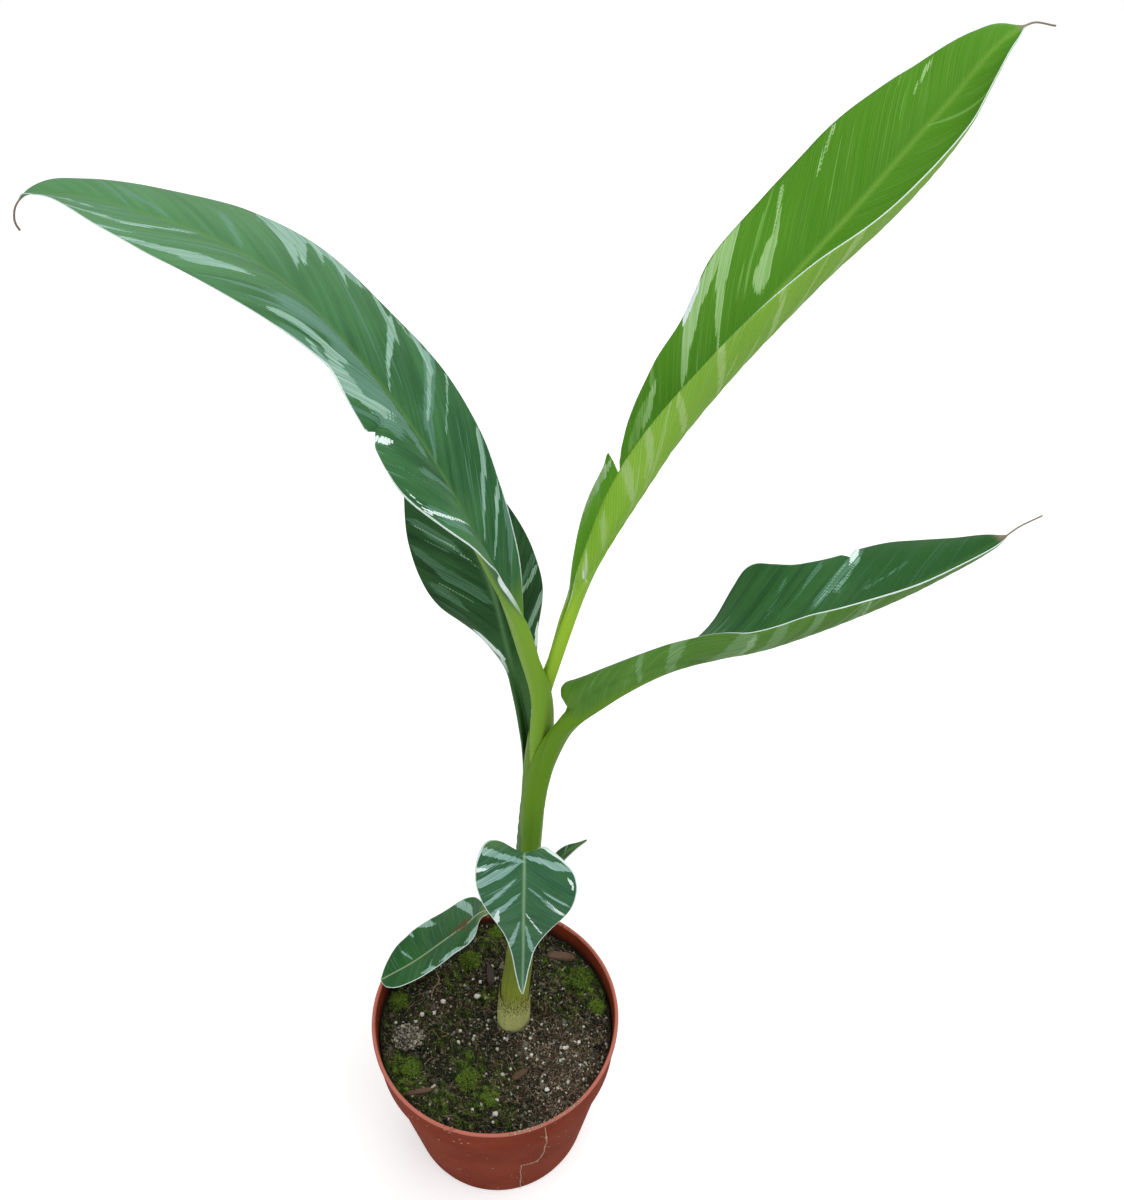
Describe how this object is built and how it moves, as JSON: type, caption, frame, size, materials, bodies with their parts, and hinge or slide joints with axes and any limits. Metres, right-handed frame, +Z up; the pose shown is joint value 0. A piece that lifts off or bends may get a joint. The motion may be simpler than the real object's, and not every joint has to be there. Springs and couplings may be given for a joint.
{
  "type": "potted banana plant",
  "caption": "Young variegated banana plant with long streaked leaves on a short pseudostem, growing in a round terracotta-coloured plastic nursery pot of dark mossy soil.",
  "frame": {"origin": "centre of the pot's flat base", "axes": "+Z up along the pot's axis; the plant was seen from the -Y side; the long leaves rise to -X and +X"},
  "size_m": [0.3227, 0.1297, 0.5459],
  "materials": {
    "pot_plastic": "terracotta-coloured moulded polypropylene, satin, dusty, with a paler lip",
    "potting_mix": "dark damp peat mix with fibres, crumbs and perlite",
    "stem_sheath": "smooth waxy sheath, pale yellow-green at the foot and mid green above, with brown specks",
    "leaf": "satin green blade with fine side veins, pale green to cream streaks and a thin cream margin",
    "bark": "split brown bark, dry and matt",
    "moss": "soft green moss",
    "perlite": "white, porous and matt",
    "root": "thin dry root, pale brown"
  },
  "bodies": {
    "root": {"pot": "pot_plastic", "soil": "potting_mix", "pseudostem": "stem_sheath", "leaf_upper_left": "leaf", "leaf_back": "leaf", "leaf_upper_right": "leaf", "leaf_right": "leaf", "leaf_front": "leaf", "leaf_lower_left": "leaf", "leaf_small_right": "leaf", "bark_chip_right": "bark", "bark_chip_back": "bark", "bark_chip_front": "bark", "wood_stick": "bark", "soil_clod": "potting_mix", "perlite_grain_1": "perlite", "perlite_grain_2": "perlite", "perlite_grain_3": "perlite", "perlite_grain_4": "perlite", "perlite_grain_5": "perlite", "perlite_grain_6": "perlite", "perlite_grain_7": "perlite", "perlite_grain_8": "perlite", "moss_cushion_1": "moss", "moss_cushion_2": "moss", "moss_cushion_3": "moss", "moss_cushion_4": "moss", "moss_cushion_5": "moss", "moss_cushion_6": "moss", "moss_cushion_7": "moss", "moss_cushion_8": "moss", "root_on_soil": "root", "root_on_pot": "root"}
  },
  "joints": []
}
